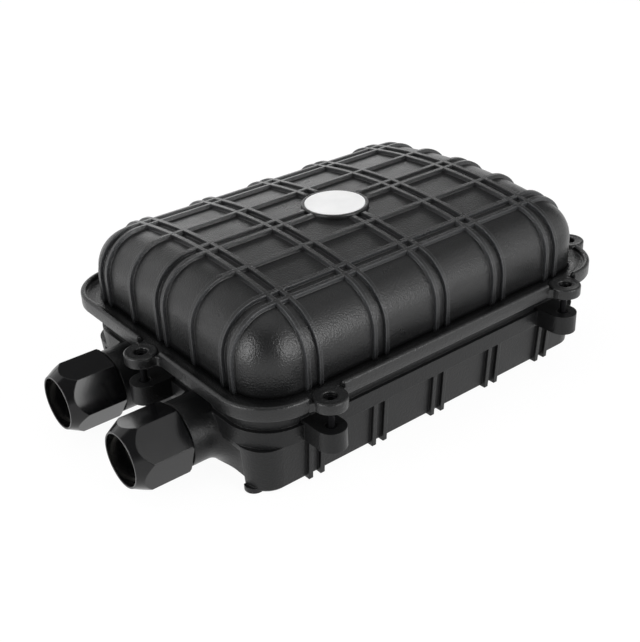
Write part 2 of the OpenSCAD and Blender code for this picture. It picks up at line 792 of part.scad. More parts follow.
// A tab that reaches out from a wall at x, with its underside at height z
module tray_tab(x, z) {
    translate([x, -tab_w / 2, z]) cube([tray_wall + tab_l, tab_w, tab_t]);
}

module splice_holder() color([0.2, 0.22, 0.25]) difference() {
    slab(tray_floor_z, tray_floor_z + holder_h, holder_l / 2, holder_w / 2, fit_gap);
    for (i = [0 : slots - 1])
        translate([-holder_l, (i - (slots - 1) / 2) * slot_pitch - slot_w / 2,
                   tray_floor_z + holder_h / 4])
            cube([2 * holder_l, slot_w, holder_h]);
}

// Clear cover that slides along the tray, with thumb notches in its long sides
module tray_cover() color([0.85, 0.9, 0.95, 0.4]) difference() {
    slab(tray_top_z, tray_top_z + cover_t, tray_l / 2, tray_w / 2, tray_r);
    for (s = [-1, 1]) translate([0, s * tray_w / 2, tray_top_z - over])
        cylinder(cover_t + 2 * over, tab_w, tab_w);
}

base_shell();
lid_shell();
label_disc();
seal_ring();
screw_inserts();
for (i = [0 : len(ears) - 1])
    lid_screw(i);
for (i = [0 : len(ports) - 1]) {
    gland_nut(i);
    thrust_ring(i);
    gland_grommet(i);
    cable_clamp(i);
    strength_clamp(i);
}
clamp_screws();
strength_screws();
tray_bracket();
bracket_screws();
hinge_pin();
splice_tray();
splice_holder();
tray_cover();
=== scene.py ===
import math

import bmesh
import bpy
from mathutils import Matrix, Vector


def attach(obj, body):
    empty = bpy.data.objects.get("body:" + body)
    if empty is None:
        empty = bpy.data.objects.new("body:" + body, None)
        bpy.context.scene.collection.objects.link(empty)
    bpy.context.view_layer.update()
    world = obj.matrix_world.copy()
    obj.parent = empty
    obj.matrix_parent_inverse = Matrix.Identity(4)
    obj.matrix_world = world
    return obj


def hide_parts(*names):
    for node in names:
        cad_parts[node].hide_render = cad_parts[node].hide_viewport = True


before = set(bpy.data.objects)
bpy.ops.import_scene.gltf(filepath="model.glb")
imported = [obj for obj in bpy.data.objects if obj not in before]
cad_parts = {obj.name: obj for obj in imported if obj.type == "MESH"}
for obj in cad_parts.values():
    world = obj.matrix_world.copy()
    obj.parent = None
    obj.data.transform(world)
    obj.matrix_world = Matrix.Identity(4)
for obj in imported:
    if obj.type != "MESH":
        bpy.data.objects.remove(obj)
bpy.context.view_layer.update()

MM = 0.001

# Sizes of the lid in millimetres, as the solids have them
HALF_L, HALF_W = 99.0, 72.3  # the dome, over its walls
EDGE_R, CROWN_R = 19.0, 315.0  # the bend round the top, and the crown
PLATE_LOW, PLATE_Z, APEX_Z = 42.5, 46.0, 82.8  # heights of the plate's faces and of the crown
WALL = 3.0
COLUMN_PITCH, ROW_PITCH, PAIR_PITCH = 36.0, 25.3, 6.4
RIB_W, SOLID_RIB_H = 2.2, 1.6
FLANGE_L, FLANGE_W, FLANGE_R = 108.0, 81.3, 25.0
LIP_LOW, LIP_TOP, LIP_T = 42.0, 48.6, 2.6
EAR_R = 7.6
SIDE_EAR_X, SIDE_EAR_Y = 72.0, 82.8
END_EAR_X, END_EAR_Y = 111.5, 52.2

# Finer forms, which the solids leave out
RIB_H = 1.75  # the skin lies lower by what this is more, so the crests stand as high
RIB_SOFT = 0.4  # width of a rib's rounded edge
PAD_CLEAR = 15.4  # the ribs end at this distance from the middle of the label pad
EAR_GAP, LIP_END = 1.0, 1.0  # bare width beside an ear, then the rounded end of the lip
LIP_ROUND = 1.15  # height of the lip's rounded top
FLARE = 2.2  # radius of the fillets beside an ear
HEEL_X = -13.0  # an ear's web ends here, inside the plate

# Screw ears: place, and the way that each points in degrees
EARS = [
    (-SIDE_EAR_X, -SIDE_EAR_Y, -90), (SIDE_EAR_X, -SIDE_EAR_Y, -90),
    (SIDE_EAR_X, SIDE_EAR_Y, 90), (-SIDE_EAR_X, SIDE_EAR_Y, 90),
    (-END_EAR_X, 0, 180), (END_EAR_X, -END_EAR_Y, 0), (END_EAR_X, END_EAR_Y, 0),
]

# Centre lines of the ribs: five pairs across the casing, three pairs and two single ribs along it
COLUMNS = [i * COLUMN_PITCH + s * PAIR_PITCH / 2 for i in range(-2, 3) for s in (-1, 1)]
ROWS = [j * ROW_PITCH + s * PAIR_PITCH / 2 for j in (-2, 0, 2) for s in (-1, 1)]
ROWS += [-ROW_PITCH, ROW_PITCH]

# The crown and the bends share this core: the bends roll round its edge, the crown rests on it
CORE_X, CORE_Y = HALF_L - EDGE_R, HALF_W - EDGE_R
CROWN_Z = APEX_Z - CROWN_R
CORE_RUN = CROWN_R - EDGE_R
CROWN_A = math.asin(CORE_Y / CORE_RUN)
EDGE_Z = CROWN_Z + CORE_RUN * math.cos(CROWN_A)
FOOT_Z = PLATE_Z - 0.4  # the dome's walls run into the plate
FOOT_H = 4.0  # height of the inner wall's foot, below its plain grid

# Fineness of the meshes
DOME_STEP, BEND_STEPS, WALL_STEPS, CORNER_STEPS = 3.2, 14, 5, 12
FLANGE_STEP, NOTCH_STEP, NOTCH_BEFORE, NOTCH_AFTER = 7, 0.16, 0.3, 1.6
SAME_PLACE = 0.02
TURNED_STEPS = 96


def steps(a, b, n):
    """n + 1 evenly spaced values from a to b."""
    return [a + (b - a) * i / n for i in range(n + 1)]


def in_scene(name, data):
    """A new object in the scene, at the origin."""
    obj = bpy.data.objects.new(name, data)
    bpy.context.scene.collection.objects.link(obj)
    return obj


def smoothed(mesh):
    mesh.polygons.foreach_set("use_smooth", [True] * len(mesh.polygons))


def weld(obj, distance=0.00001):
    """Merges doubled points, points the faces outwards and smooths them."""
    work = bmesh.new()
    work.from_mesh(obj.data)
    bmesh.ops.remove_doubles(work, verts=work.verts, dist=distance)
    bmesh.ops.dissolve_degenerate(work, edges=work.edges, dist=distance / 4)
    bmesh.ops.recalc_face_normals(work, faces=work.faces)
    work.to_mesh(obj.data)
    work.free()
    smoothed(obj.data)
    obj.data.update()
    return obj


class Shell:
    """Points in millimetres and faces, gathered before they become one mesh."""

    def __init__(self):
        self.verts, self.faces = [], []

    def grid(self, rows, closed=False):
        """Quads between rows of points, each row as long as the first."""
        start, wide = len(self.verts), len(rows[0])
        for row in rows:
            self.verts.extend(row)
        for i in range(len(rows) - 1):
            for j in range(wide if closed else wide - 1):
                k = (j + 1) % wide
                a = start + i * wide
                self.faces.append((a + j, a + k, a + wide + k, a + wide + j))

    def bridge(self, one, two):
        """Triangles between two rows of any length that start and end side by side."""
        start, ends = len(self.verts), (len(one) - 1, len(two) - 1)
        self.verts.extend(one)
        self.verts.extend(two)
        i = j = 0
        while i < ends[0] or j < ends[1]:
            a, b = start + i, start + len(one) + j
            if j == ends[1] or (i < ends[0] and (i + 1) * ends[1] <= (j + 1) * ends[0]):
                self.faces.append((a, a + 1, b))
                i += 1
            else:
                self.faces.append((a, b + 1, b))
                j += 1

    def raw(self, name):
        """The gathered points and faces as an object, in metres."""
        mesh = bpy.data.meshes.new(name)
        mesh.from_pydata([(x * MM, y * MM, z * MM) for x, y, z in self.verts], [], self.faces)
        return in_scene(name, mesh)

    def build(self, name):
        return weld(self.raw(name))


# ---------- dome ----------

def crown_height(x, y, grow):
    """Height of the dome's surface over a point of its plan."""
    r = EDGE_R + grow
    x, y = abs(x), abs(y)
    if x <= CORE_X:
        return CROWN_Z + math.sqrt((CROWN_R + grow) ** 2 - y * y)
    part = min((x - CORE_X) / r, 1.0)
    run = CORE_RUN + r * math.sqrt(1 - part * part)
    if y <= run * math.sin(CROWN_A) + 1e-9:
        return CROWN_Z + math.sqrt(run * run - y * y)
    left = r * r - (y - CORE_Y) ** 2 - (x - CORE_X) ** 2
    return EDGE_Z + math.sqrt(max(left, 0.0))


def grid_lines(centres, limit):
    """Grid lines from -limit to limit, close together on the flanks of ribs at the centres."""
    half = RIB_W / 2
    flank = [half + k / 10 for k in range(-3, 4)]
    offsets = [0, 0.5, *flank, half + 0.42, half + 0.8]
    lines = {round(c + s * o, 4) for c in centres for o in offsets for s in (-1, 1)}
    lines |= {-limit, limit}
    ordered = sorted(v for v in lines if abs(v) <= limit)
    filled = [ordered[0]]
    for value in ordered[1:]:
        start = filled[-1]
        gap = value - start
        parts = max(1, math.ceil(gap / DOME_STEP))
        filled.extend(start + gap * k / parts for k in range(1, parts + 1))
    return filled


def corner_rows(sx, sy, r, bends):
    """Fans of the ball corner, from the end's bend round to the long side's."""
    rows = []
    for u in steps(0, 1, CORNER_STEPS):
        row = []
        for t, lean in bends:
            over = t * math.pi / 2
            one = Vector((math.cos(CROWN_A) * math.sin(over), math.sin(CROWN_A),
                          math.cos(CROWN_A) * math.cos(over)))
            two = Vector((0, math.sin(lean), math.cos(lean)))
            n = one.slerp(two, u) if (one - two).length > 1e-6 else one
            row.append((sx * (CORE_X + r * n.x), sy * (CORE_Y + r * n.y), EDGE_Z + r * n.z))
        rows.append(row)
    return rows


def dome_patches(shell, grow, foot_z, across=(), along=()):
    """Adds one skin of the dome, down to foot_z, and returns its rims.

    The grid is close where ribs lie, at the given lines across and along the casing."""
    r = EDGE_R + grow
    xs = grid_lines(across, CORE_X)
    ys = grid_lines(along, CORE_Y + r * math.sin(CROWN_A))
    bends = [(t, CROWN_A + t * (math.pi / 2 - CROWN_A)) for t in steps(0, 1, BEND_STEPS)]
    rims = []

    def add(rows):
        """Adds a bend's rows, each run on down its wall."""
        for row in rows:
            x, y, start = row[-1]
            row += [(x, y, z) for z in steps(start, foot_z, WALL_STEPS)[1:]]
        shell.grid(rows)
        rims.append([row[-1] for row in rows])

    shell.grid([[(x, y, crown_height(x, y, grow)) for y in ys] for x in xs])
    for s in (-1, 1):
        add([[(x, s * (CORE_Y + r * math.sin(lean)), EDGE_Z + r * math.cos(lean))
              for _, lean in bends] for x in xs])
        rows = []
        for y in ys:
            over = max(abs(y) - CORE_Y, 0)
            reach = math.sqrt(r * r - over * over)
            plan = [CORE_X + reach * math.sin(t * math.pi / 2) for t, _ in bends]
            rows.append([(s * x, y, crown_height(x, y, grow)) for x in plan])
        add(rows)
    for sx in (-1, 1):
        for sy in (-1, 1):
            add(corner_rows(sx, sy, r, bends))
    return rims


def dome_shell():
    """The dome's outer and inner skin, joined along the foot, with the outer one marked.

    The inner skin has no ribs, so its grid is plain and meets the close one of the foot."""
    shell, marks = Shell(), []

    def mark(value):
        """Marks the points that were added since the last call."""
        marks.extend([value] * (len(shell.verts) - len(marks)))

    outer = dome_patches(shell, SOLID_RIB_H - RIB_H, FOOT_Z, COLUMNS, ROWS)
    mark(1.0)
    inner = dome_patches(shell, -WALL, FOOT_Z + FOOT_H)
    mark(0.0)
    foot = dome_patches(Shell(), -WALL, FOOT_Z, COLUMNS, ROWS)
    for outside, inside, above in zip(outer, foot, inner):
        shell.grid([outside, inside])
        marks.extend([1.0] * len(outside))
        shell.bridge(inside, above)
        mark(0.0)
    obj = shell.raw("dome")
    skin = obj.data.attributes.new("outer", "FLOAT", "POINT")
    skin.data.foreach_set("value", marks)
    return weld(obj)


# ---------- ribs ----------

class Tree:
    """A node tree in the making: each call adds a node and links what it is given."""

    def __init__(self, tree):
        self.tree = tree

    def node(self, kind, *inputs, **settings):
        made = self.tree.nodes.new(kind)
        for key, value in settings.items():
            setattr(made, key, value)
        for k, value in enumerate(inputs):
            if value is None:
                continue
            if isinstance(value, bpy.types.NodeSocket):
                self.tree.links.new(value, made.inputs[k])
            else:
                made.inputs[k].default_value = value
        return made

    def math(self, operation, *inputs):
        return self.node("ShaderNodeMath", *inputs, operation=operation).outputs[0]

    def ramp(self, value, low, high):
        """0 at low, 1 at high and smooth between; low may be the greater one."""
        made = self.node("ShaderNodeMapRange", value, low, high, 0.0, 1.0,
                         interpolation_type="SMOOTHSTEP")
        return made.outputs[0]


def rib_tree():
    """Raises the ribs along the normals, and stores a painted highlight along the edges of their
    crests.
    """
    tree = bpy.data.node_groups.new("moulded ribs", "GeometryNodeTree")
    face = tree.interface
    face.new_socket("Geometry", in_out="OUTPUT", socket_type="NodeSocketGeometry")
    face.new_socket("Geometry", in_out="INPUT", socket_type="NodeSocketGeometry")
    # The last two heights set where the painted highlight on the crest edges fades from full to
    # faint
    sizes = [("Column pitch", COLUMN_PITCH), ("Row pitch", ROW_PITCH), ("Pair pitch", PAIR_PITCH),
             ("Rib width", RIB_W), ("Rib height", RIB_H), ("Softness", RIB_SOFT),
             ("Pad radius", PAD_CLEAR), ("Faint highlight height", 82), ("Full highlight height", 77)]
    for name, value in sizes:
        socket = face.new_socket(name, in_out="INPUT", socket_type="NodeSocketFloat")
        socket.default_value = value * MM
    face.new_socket("Plastic", in_out="INPUT", socket_type="NodeSocketMaterial")
    t = Tree(tree)
    get = {s.name: s for s in t.node("NodeGroupInput").outputs}
    place = t.node("GeometryNodeInputPosition").outputs[0]
    x, y, z = t.node("ShaderNodeSeparateXYZ", place).outputs
    half_pair = t.math("MULTIPLY", get["Pair pitch"], 0.5)
    half_rib = t.math("MULTIPLY", get["Rib width"], 0.5)
    half_soft = t.math("MULTIPLY", get["Softness"], 0.5)
    foot = t.math("ADD", half_rib, half_soft)
    crest = t.math("SUBTRACT", half_rib, half_soft)

    def raised(along, pitch, twin):
        """Height share of the ribs, and the distance to the nearest centre line.

        Every line of a twin row is a pair; otherwise pairs and single ribs take turns."""
        step = t.math("DIVIDE", along, pitch)
        count = t.math("MINIMUM", t.math("MAXIMUM", t.math("ROUND", step), -2.0), 2.0)
        away = t.math("ABSOLUTE", t.math("SUBTRACT", along, t.math("MULTIPLY", count, pitch)))
        if twin:
            offset = half_pair
        else:
            odd = t.math("MODULO", t.math("ABSOLUTE", count), 2.0)
            offset = t.math("MULTIPLY", half_pair, t.math("SUBTRACT", 1.0, odd))
        gap = t.math("ABSOLUTE", t.math("SUBTRACT", away, offset))
        return t.ramp(gap, foot, crest), gap

    def crest_edge(gap, crossing):
        """1 along a crest's edge, in shares of the rib's half width, and 0 where ribs cross."""
        inwards = t.ramp(gap, t.math("MULTIPLY", half_rib, 0.35),
                         t.math("MULTIPLY", half_rib, 0.75))
        outwards = t.ramp(gap, t.math("MULTIPLY", half_rib, 1.2), half_rib)
        return t.math("MULTIPLY", t.math("MULTIPLY", inwards, outwards),
                      t.math("SUBTRACT", 1.0, crossing))

    across, gap_x = raised(x, get["Column pitch"], True)
    lengthways, gap_y = raised(y, get["Row pitch"], False)
    ribs = t.math("MAXIMUM", across, lengthways)
    radius = t.math("SQRT", t.math("ADD", t.math("MULTIPLY", x, x), t.math("MULTIPLY", y, y)))
    clear = t.ramp(radius, get["Pad radius"], t.math("ADD", get["Pad radius"], half_soft))
    outer = t.node("GeometryNodeInputNamedAttribute", "outer", data_type="FLOAT").outputs[0]
    rise = t.math("MULTIPLY", t.math("MULTIPLY", ribs, clear),
                  t.math("MULTIPLY", get["Rib height"], outer))
    normal = t.node("GeometryNodeInputNormal").outputs[0]
    shift = t.node("ShaderNodeVectorMath", normal, operation="SCALE")
    tree.links.new(rise, shift.inputs["Scale"])
    # Painted highlight: full on the bends below the full height, a fifth as strong on the crown
    # above the faint height
    bend = t.math("MAXIMUM", t.ramp(z, get["Faint highlight height"], get["Full highlight height"]), 0.2)
    edges = t.math("MAXIMUM", crest_edge(gap_x, lengthways), crest_edge(gap_y, across))
    crest_highlight = t.math("MULTIPLY", t.math("MULTIPLY", outer, clear), t.math("MULTIPLY", bend, edges))
    kept = t.node("GeometryNodeStoreNamedAttribute", get["Geometry"], None, "crest_highlight", crest_highlight,
                  data_type="FLOAT", domain="POINT")
    moved = t.node("GeometryNodeSetPosition", kept.outputs[0], True, None, shift.outputs[0])
    solid = t.node("GeometryNodeRealizeInstances", moved.outputs[0])
    dressed = t.node("GeometryNodeSetMaterial", solid.outputs[0], True, get["Plastic"])
    t.node("NodeGroupOutput", dressed.outputs[0])
    return tree


def grown(obj, tree, material, name):
    """Applies a tree to an object and returns the result as a plain mesh."""
    modifier = obj.modifiers.new("made", "NODES")
    modifier.node_group = tree
    for item in tree.interface.items_tree:
        if item.in_out == "INPUT" and item.socket_type == "NodeSocketMaterial":
            modifier[item.identifier] = material
        elif item.in_out == "INPUT" and item.socket_type == "NodeSocketFloat":
            modifier[item.identifier] = item.default_value
    depsgraph = bpy.context.evaluated_depsgraph_get()
    depsgraph.update()
    mesh = bpy.data.meshes.new_from_object(obj.evaluated_get(depsgraph))
    obj.modifiers.remove(modifier)
    bpy.data.objects.remove(obj)
    mesh.name = name
    return in_scene(name, mesh)


def joined(name, parts, material):
    """One object from several, all in one material."""
    work = bmesh.new()
    for part in parts:
        work.from_mesh(part.data)
        bpy.data.objects.remove(part)
    mesh = bpy.data.meshes.new(name)
    work.to_mesh(mesh)
    work.free()
    mesh.materials.clear()
    mesh.materials.append(material)
    mesh.polygons.foreach_set("material_index", [0] * len(mesh.polygons))
    smoothed(mesh)
    return in_scene(name, mesh)


# ---------- flange ----------

def close_steps(low, high, marks):
    """Values from low to high, close together from just before each mark to a little past it."""
    count = max(1, round((high - low) / FLANGE_STEP))
    values = [low, high] + [low + (high - low) * k / count for k in range(1, count)]
    for mark in marks:
        k = 0
        while k * NOTCH_STEP <= NOTCH_AFTER:
            values.append(mark - NOTCH_BEFORE + k * NOTCH_STEP)
            k += 1
    kept = []
    for value in sorted(v for v in values if low <= v <= high):
        if not kept or value - kept[-1] > NOTCH_STEP * 0.6:
            kept.append(value)
    kept[-1] = high
    return kept


def both_ways(run, marks):
    """The close steps from -run to run and their mirror image, without nearly equal ones."""
    one = close_steps(-run, run, marks)
    kept = []
    for value in sorted({round(v, 4) for v in one + [-v for v in one]}):
        if not kept or value - kept[-1] > SAME_PLACE:
            kept.append(value)
    return kept


def outline_places(plain=False):
    """Places round the flange: a side or a corner, and a share along it.

    The plain outline has no close steps at the ears' notches."""
    run_x, run_y = FLANGE_L - FLANGE_R, FLANGE_W - FLANGE_R
    if plain:
        side, end, turn = [-run_x, run_x], [-run_y, run_y], steps(0, 1, 12)
    else:
        edge = EAR_R + EAR_GAP
        side = both_ways(run_x, [SIDE_EAR_X + edge, -SIDE_EAR_X + edge])
        end = both_ways(run_y, [edge, -END_EAR_Y + edge, END_EAR_Y + edge])
        # The end ears' notches reach into the corners, so these start with close steps
        turn = [k / 100 for k in range(20)] + steps(0.2, 1, 15)
    turn = turn[1:-1]
    return [
        *(("right", v / run_y) for v in end), *(("right top", v) for v in turn),
        *(("top", -v / run_x) for v in side), *(("left top", v) for v in reversed(turn)),
        *(("left", -v / run_y) for v in end), *(("left bottom", v) for v in turn),
        *(("bottom", v / run_x) for v in side), *(("right bottom", v) for v in reversed(turn)),
    ]


def around_plan(places, half_l, half_w, r):
    """Points of a round-cornered outline at the given places."""
    run_x, run_y = half_l - r, half_w - r
    points = []
    for where, share in places:
        if where in ("right", "left"):
            points.append((half_l if where == "right" else -half_l, share * run_y))
        elif where in ("top", "bottom"):
            points.append((share * run_x, half_w if where == "top" else -half_w))
        else:
            a = share * math.pi / 2
            sx = 1 if "right" in where else -1
            sy = 1 if "top" in where else -1
            points.append((sx * (run_x + r * math.cos(a)), sy * (run_y + r * math.sin(a))))
    return points


def lip_share(x, y):
    """1 where the lip stands, falling in a round end to 0 at each ear."""
    share = 1.0
    for ex, ey, turn in EARS:
        if abs(turn) == 90:
            same_side, near = y * ey > 0 and abs(y) > FLANGE_W - FLANGE_R, abs(x - ex)
        else:
            same_side, near = x * ex > 0 and abs(x) > FLANGE_L - FLANGE_R, abs(y - ey)
        if same_side:
            t = min(max((near - EAR_R - EAR_GAP) / LIP_END, 0.0), 1.0)
            share = min(share, math.sqrt(1 - (1 - t) ** 2))
    return share


def flange_ring():
    """The plate outside the dome and its standing lip, folded away at the ears."""
    places = outline_places()
    rim = around_plan(places, FLANGE_L, FLANGE_W, FLANGE_R)
    stands = [lip_share(x, y) for x, y in rim]
    deep = LIP_T + 0.15
    folded = around_plan(places, FLANGE_L - deep, FLANGE_W - deep, FLANGE_R - deep)
    half_t, top = LIP_T / 2, LIP_TOP - LIP_ROUND

    # Inset and height of the lip's profile: up its outside, over its top, down to the plate
    profile = [(LIP_T, PLATE_LOW), (LIP_T, LIP_LOW), (0.35, LIP_LOW), (0.1, LIP_LOW + 0.1),
               (0, LIP_LOW + 0.35), (0, PLATE_Z - 0.6)]
    profile += [(half_t - half_t * math.cos(a), top + LIP_ROUND * math.sin(a))
                for a in steps(0, math.pi, 10)]
    profile += [(LIP_T + 0.02, PLATE_Z + 0.6), (LIP_T + 0.2, PLATE_Z + 0.2),
                (LIP_T + 0.6, PLATE_Z + 0.001), (LIP_T + 3, PLATE_Z)]
    rows = []
    for inset, height in profile:
        plan = around_plan(places, FLANGE_L - inset, FLANGE_W - inset, FLANGE_R - inset)
        row = []
        for (x, y), (fx, fy), s in zip(plan, folded, stands):
            z = PLATE_Z + (height - PLATE_Z) * (s if height > PLATE_Z else 1)
            if inset < deep:
                x, y = x + (fx - x) * (1 - s), y + (fy - y) * (1 - s)
            row.append((x, y, z))
        rows.append(row)

    # Inner edge, hidden in the dome's wall
    for z in (PLATE_Z, PLATE_LOW):
        rows.append([(x, y, z) for x, y in around_plan(places, 97.0, 68.5, 17.2)])
    rows.append(rows[0])
    shell = Shell()
    shell.grid(rows, closed=True)
    return shell.build("flange")


def liner_ring():
    """Ledge of the plate inside the dome, with the tongue that presses on the seal."""
    places = outline_places(plain=True)
    # Half length, half width, corner radius and height of each loop
    ledge = [(97.6, 70.9, 16.4, 45.8), (95.6, 66.6, 15.6, 46.0), (95.5, 66.5, 15.5, 45.8),
             (95.5, 66.5, 15.5, 42.5)]
    tongue = [(95.85, 66.85, 15.85, 42.5), (95.85, 66.85, 15.85, 40.7),
              (96.05, 67.05, 16.05, 40.5), (97.95, 68.95, 17.95, 40.5),
              (98.15, 69.15, 18.15, 40.7), (98.15, 69.15, 18.15, 43.2)]
    shell = Shell()
    shell.grid([[(x, y, z) for x, y in around_plan(places, half_l, half_w, r)]
                for half_l, half_w, r, z in (*ledge, *tongue, ledge[0])], closed=True)
    return shell.build("liner")


# Loops of an ear from its underside up: share of the web's outline, inset and height
EAR_OUTSIDE = (
    (1, 0.6, 41.8), (1, 0.15, 41.9), (1, 0, 42.3), (1, 0, 45.5), (0.99, 0, 45.78),
    (0.95, 0, 45.85), (0.5, 0, 45.86), (0.08, 0, 45.87), (0.02, 0, 45.9), (0, 0, 46.0),
    (0, 0, 46.35), (0, 0.2, 46.66), (0, 0.5, 46.86), (0, 0.9, 46.92), (0, 1.5, 46.84),
    (0, 2.1, 46.74),
)
# Radius and height of the loops across its top, into the head's recess and down the hole
EAR_INSIDE = (
    (4.6, 46.72), (4.0, 46.74), (3.5, 46.72), (3.2, 46.6), (3.04, 46.35), (3.0, 46.0),
    (3.0, 43.2), (1.8, 43.2), (1.8, 41.8),
)


def ear_plan(edge):
    """Outline of an ear: round outside, with a fillet on each side where it leaves the flange."""
    run = min(edge, FLARE)
    side = [(0.0, -edge + run)] if edge > FLARE else []
    side += [(FLARE * (1 - math.sqrt(1 - t * t)), -edge + run * (1 - t))
             for t in steps(0.2, 1, 5)]
    side += [(FLARE, x) for x in (-edge - 1, -edge - 2, -edge - 3.2, -8.5, -10.5, HEEL_X)]
    left = [(x, EAR_R + out) for out, x in side]
    nose = [(EAR_R * math.cos(a), EAR_R * math.sin(a))
            for a in steps(-math.pi / 2, math.pi / 2, 40)]
    heel = [(HEEL_X, y) for y in steps(EAR_R + FLARE, -EAR_R - FLARE, 16)[1:-1]]
    return [(x, -y) for x, y in reversed(left)] + nose + left + heel


def ear(place):
    """One screw ear: a round boss on its web, with a rim round the recess for the screw's head."""
    ex, ey, turn = place
    plan = ear_plan(abs(ey) - FLANGE_W if abs(turn) == 90 else abs(ex) - FLANGE_L)
    ca, sa = math.cos(math.radians(turn)), math.sin(math.radians(turn))
    rows = []
    for web, inset, z in EAR_OUTSIDE + tuple((0, EAR_R - r, z) for r, z in EAR_INSIDE):
        row = []
        for x, y in plan:
            reach = math.hypot(x, y)
            k = (EAR_R + (reach - EAR_R) * web - inset) / reach
            row.append((ex + x * k * ca - y * k * sa, ey + x * k * sa + y * k * ca, z))
        rows.append(row)
    rows.append(rows[0])
    shell = Shell()
    shell.grid(rows, closed=True)
    return shell.build("ear")


def label_pad():
    """Round pad on the crown with a low rim, turned from its profile of radius and height."""
    profile = [(0, 81.5), (15.9, 81.5), (16.35, 82.2), (16.2, 83.4), (16.16, 84.0),
               (16.0, 84.28), (15.7, 84.4), (15.0, 84.4), (14.75, 84.32), (14.62, 84.1),
               (14.6, 83.46), (0, 83.46)]
    turn = [2 * math.pi * k / TURNED_STEPS for k in range(TURNED_STEPS)]
    shell = Shell()
    shell.grid([[(max(r, 1e-5) * math.cos(a), max(r, 1e-5) * math.sin(a), z) for a in turn]
                for r, z in profile], closed=True)
    return shell.build("pad")


# ---------- finishes ----------

def finish(name, colour, roughness, metallic=0.0, **sockets):
    """A named material and its tree, with the even values set on the shader itself."""
    material = bpy.data.materials.new(name)
    material.use_nodes = True
    t = Tree(material.node_tree)
    shader = material.node_tree.nodes["Principled BSDF"]
    shader.inputs["Base Color"].default_value = (*colour, 1)
    shader.inputs["Roughness"].default_value = roughness
    shader.inputs["Metallic"].default_value = metallic
    for key, value in sockets.items():
        shader.inputs[key.replace("_", " ")].default_value = value
    return material, t, shader


def mottled(t, shader, colour, rough, scale, spread=0.12):
    """Varies the colour by the spread, and the roughness, slowly over the surface."""
    place = t.node("ShaderNodeTexCoord").outputs["Object"]
    noise = t.node("ShaderNodeTexNoise", place)
    noise.inputs["Scale"].default_value = scale
    noise.inputs["Detail"].default_value = 4
    ramp = t.node("ShaderNodeMapRange", noise.outputs[0], 0.3, 0.7, *rough)
    t.tree.links.new(ramp.outputs[0], shader.inputs["Roughness"])
    mix = t.node("ShaderNodeMix", data_type="RGBA")
    t.tree.links.new(noise.outputs[0], mix.inputs[0])
    mix.inputs[6].default_value = (*[c * (1 - spread) for c in colour], 1)
    mix.inputs[7].default_value = (*[c * (1 + spread) for c in colour], 1)
    t.tree.links.new(mix.outputs[2], shader.inputs["Base Color"])
    return place


def grained(t, shader, place, scale, depth, edge=0.0):
    """Fine moulded grain of the given depth, and softened corners where the mesh is sharp."""
    noise = t.node("ShaderNodeTexNoise", place)
    noise.inputs["Scale"].default_value = scale
    noise.inputs["Detail"].default_value = 2
    bump = t.node("ShaderNodeBump")
    bump.inputs["Strength"].default_value = 1.0
    bump.inputs["Distance"].default_value = depth
    t.tree.links.new(noise.outputs[0], bump.inputs["Height"])
    if edge:
        soft = t.node("ShaderNodeBevel", samples=4)
        soft.inputs["Radius"].default_value = edge
        t.tree.links.new(soft.outputs[0], bump.inputs["Normal"])
    t.tree.links.new(bump.outputs[0], shader.inputs["Normal"])


def plastic(name, colour, rough, grain, depth, edge, shine=0.5):
    """A moulded finish: roughness from and to, the grain's scale and depth, the corners' radius."""
    material, t, shader = finish(name, colour, rough[0], IOR=1.5, Specular_IOR_Level=shine)
    place = mottled(t, shader, colour, rough, 90)
    grained(t, shader, place, grain, depth, edge)
    return material


def metal(name, colour, rough):
    material, t, shader = finish(name, colour, rough[0], 1.0)
    place = mottled(t, shader, colour, rough, 300)
    grained(t, shader, place, 1200, 0.00001, 0.0002)
    return material


def paint_crest_highlight(material, colour):
    """Lightens the crest edges of the ribs with a painted highlight, read from the stored
    attribute.
    """
    t = Tree(material.node_tree)
    base = material.node_tree.nodes["Principled BSDF"].inputs["Base Color"]
    highlighted = t.node("ShaderNodeMix", data_type="RGBA")
    t.tree.links.new(t.node("ShaderNodeAttribute", attribute_name="crest_highlight").outputs["Fac"],
                     highlighted.inputs[0])
    t.tree.links.new(base.links[0].from_socket, highlighted.inputs[6])
    highlighted.inputs[7].default_value = (*colour, 1)
    t.tree.links.new(highlighted.outputs[2], base)


def clear_plastic():
    material, t, shader = finish("clear cover", (0.93, 0.95, 0.96), 0.08,
                                 Transmission_Weight=0.9, IOR=1.5)
    grained(t, shader, t.node("ShaderNodeTexCoord").outputs["Object"], 400, 0.000005)
    return material


CASING_BLACK = (0.007, 0.0072, 0.0075)

casing_plastic = plastic("grained black casing", CASING_BLACK, (0.27, 0.35), 1300, 0.00022, 0,
                         shine=0.46)
# Painted highlight: a lighter grey along the edges of the rib crests
paint_crest_highlight(casing_plastic, (0.032, 0.033, 0.035))
base_plastic = plastic("grained black base", CASING_BLACK, (0.32, 0.4), 1250, 0.00018, 0.0006,
                       shine=0.28)
nut_plastic = plastic("smooth black nut", (0.004, 0.004, 0.0044), (0.12, 0.16), 1500, 0.00001,
                      0.0006, shine=0.36)
label_white = plastic("blank white label", (0.95, 0.95, 0.95), (0.5, 0.6), 1200, 0.00001, 0.0002)
seal_rubber = plastic("seal rubber", (0.02, 0.02, 0.02), (0.6, 0.75), 1800, 0.00003, 0.0003)
ring_plastic = plastic("slip washer nylon", (0.62, 0.6, 0.55), (0.35, 0.5), 900, 0.00001, 0.0002)
tray_plastic = plastic("tray plastic", (0.72, 0.72, 0.69), (0.4, 0.5), 1500, 0.00002, 0.0003)
holder_rubber = plastic("splice holder rubber", (0.06, 0.07, 0.09), (0.55, 0.7), 1500, 0.00002,
                        0.0002)
brass = metal("turned brass", (0.72, 0.52, 0.24), (0.25, 0.4))
zinc = metal("zinc plating", (0.6, 0.61, 0.63), (0.3, 0.45))
black_steel = metal("black oxide steel", (0.012, 0.012, 0.013), (0.55, 0.7))
clear = clear_plastic()


# ---------- the part ----------

